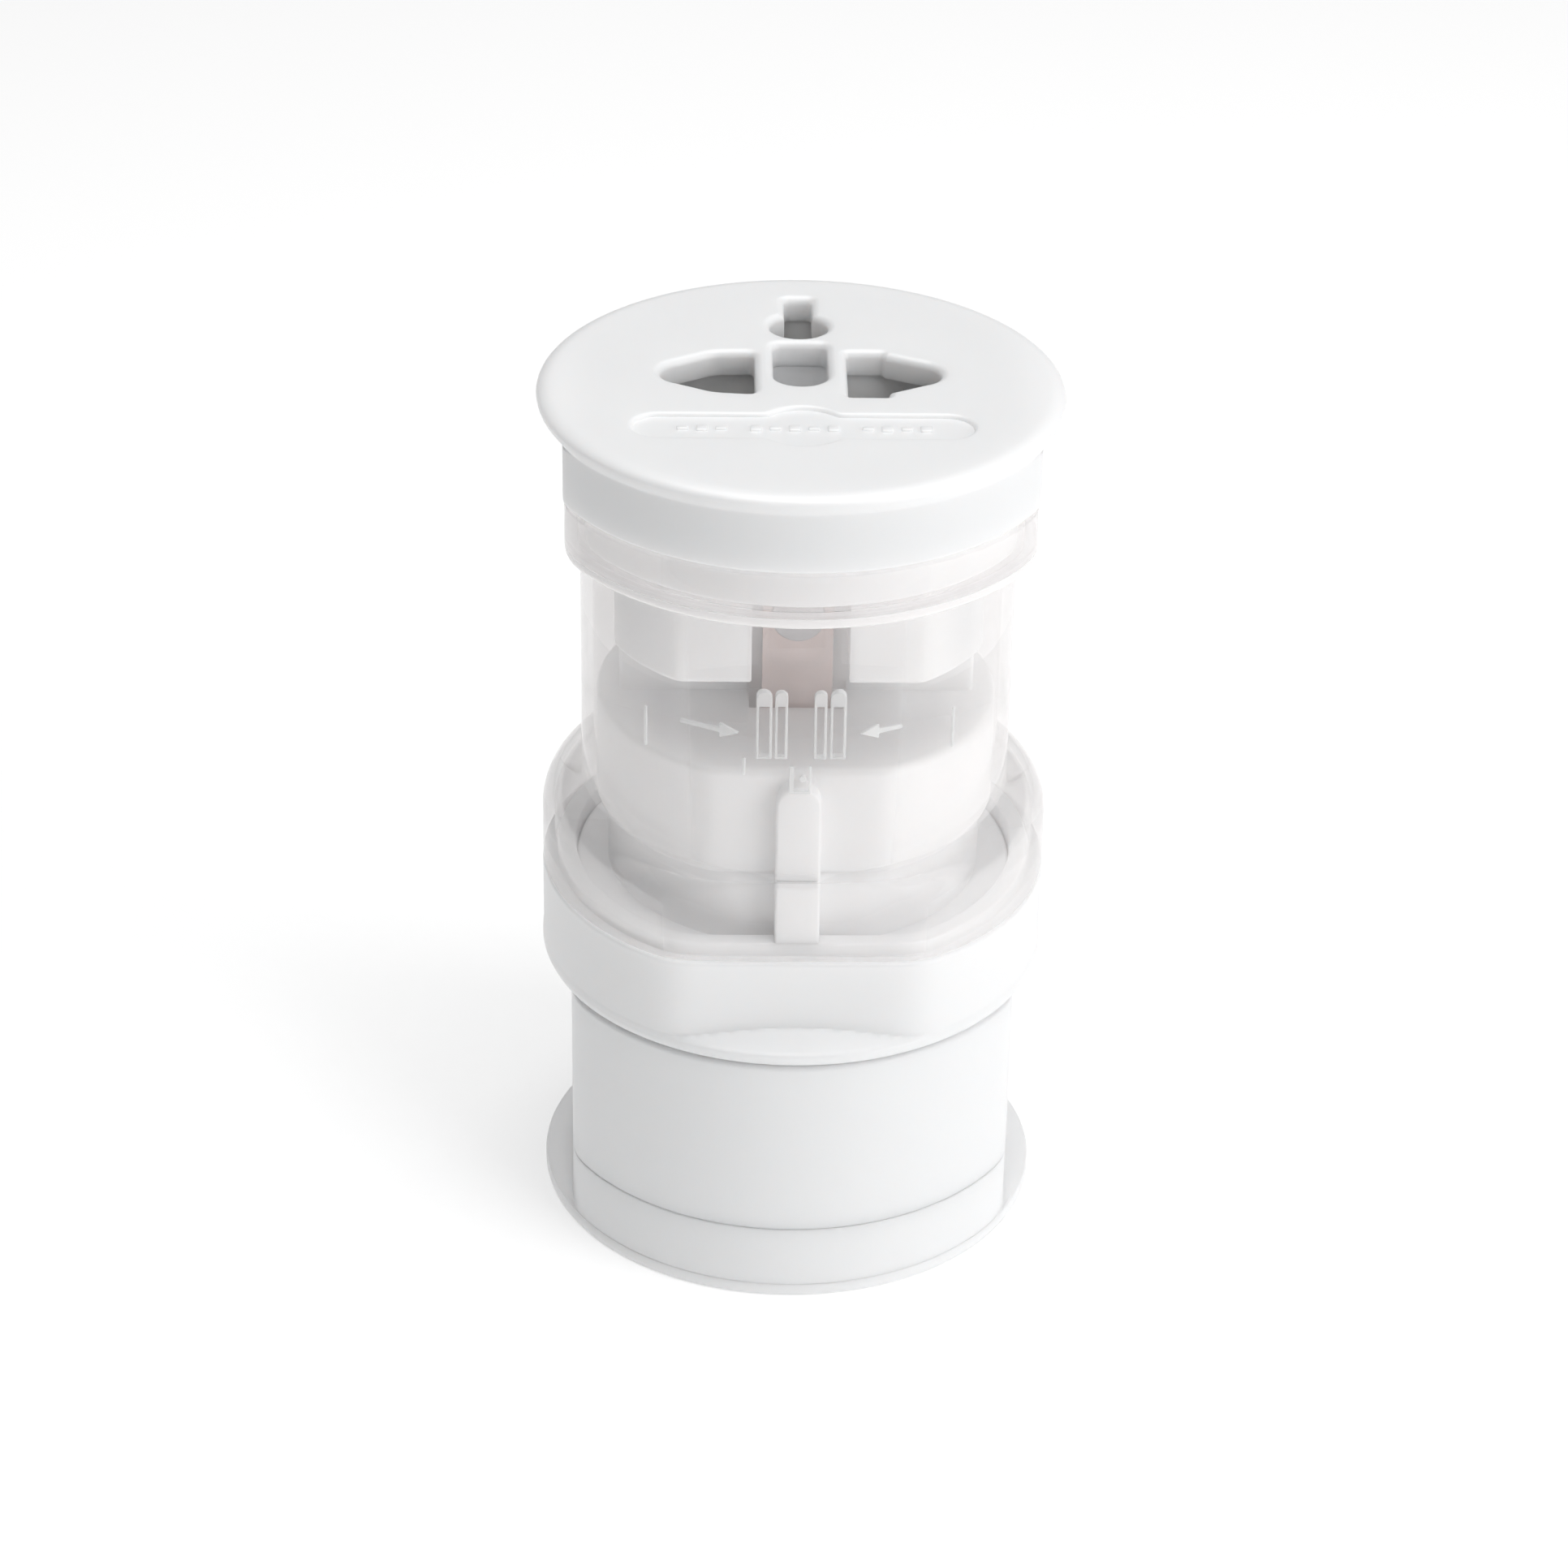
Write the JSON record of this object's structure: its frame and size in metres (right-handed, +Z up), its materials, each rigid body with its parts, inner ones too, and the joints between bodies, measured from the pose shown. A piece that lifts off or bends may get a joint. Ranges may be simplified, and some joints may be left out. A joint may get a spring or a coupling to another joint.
{
  "type": "universal travel adapter",
  "caption": "Cylindrical white travel plug adapter in stacked modules: universal socket head with turning flat blades, clear sleeve, round-pin module and holder base.",
  "frame": {"origin": "centre of the underside of the holder base, where the adapter stands", "axes": "+Z up through the stack to the socket face, +X to the side of the right-hand contact, +Y towards the earth opening"},
  "size_m": [0.05, 0.05, 0.088],
  "materials": {
    "white_abs": "satin moulded white plastic",
    "white_insert": "smooth white plastic insert",
    "clear_plastic": "clear moulded polycarbonate",
    "frosted_plastic": "frosted clear polycarbonate",
    "screw_steel": "zinc-plated steel",
    "nickel": "nickel-plated brass",
    "copper": "pale bare copper strip",
    "rivet_steel": "plated steel rivet"
  },
  "bodies": {
    "base": {"base_plate": "white_abs", "base_cup": "white_abs", "pin_cradle": "white_abs", "base_screws": "screw_steel"},
    "eu_module": {"mid_ring": "white_abs", "mid_carrier": "white_abs", "mid_core": "white_abs", "eu_pin_left": "nickel", "eu_pin_right": "nickel", "mid_contact_left": "nickel", "mid_contact_right": "nickel", "mid_screws": "screw_steel"},
    "sleeve": {"clear_sleeve": "clear_plastic", "sleeve_marks": "frosted_plastic"},
    "head": {"top_cover": "white_abs", "contact_carrier": "white_abs", "head_core": "white_abs", "head_contact_left": "nickel", "head_contact_right": "nickel", "earth_contact": "nickel", "copper_strip": "copper", "strip_rivet": "rivet_steel", "head_screws": "screw_steel"},
    "left_blade": {"blade_left": "nickel", "rotor_left": "white_insert"},
    "right_blade": {"blade_right": "nickel", "rotor_right": "white_insert"}
  },
  "joints": [
    {"name": "eu_module_lift", "type": "slide", "parent": "base", "child": "eu_module", "axis": [0, 0, 1], "range_m": [0, 0.04]},
    {"name": "sleeve_lift", "type": "slide", "parent": "eu_module", "child": "sleeve", "axis": [0, 0, 1], "range_m": [0, 0.024]},
    {"name": "head_lift", "type": "slide", "parent": "sleeve", "child": "head", "axis": [0, 0, 1], "range_m": [0, 0.036]},
    {"name": "blade_left_turn", "type": "hinge", "parent": "head", "child": "left_blade", "pos_m": [-0.00685, 0.0022, 0.06], "axis": [0, 0, 1], "range_deg": [0, 30]},
    {"name": "blade_right_turn", "type": "hinge", "parent": "head", "child": "right_blade", "pos_m": [0.00685, 0.0022, 0.06], "axis": [0, 0, 1], "range_deg": [-30, 0]}
  ]
}
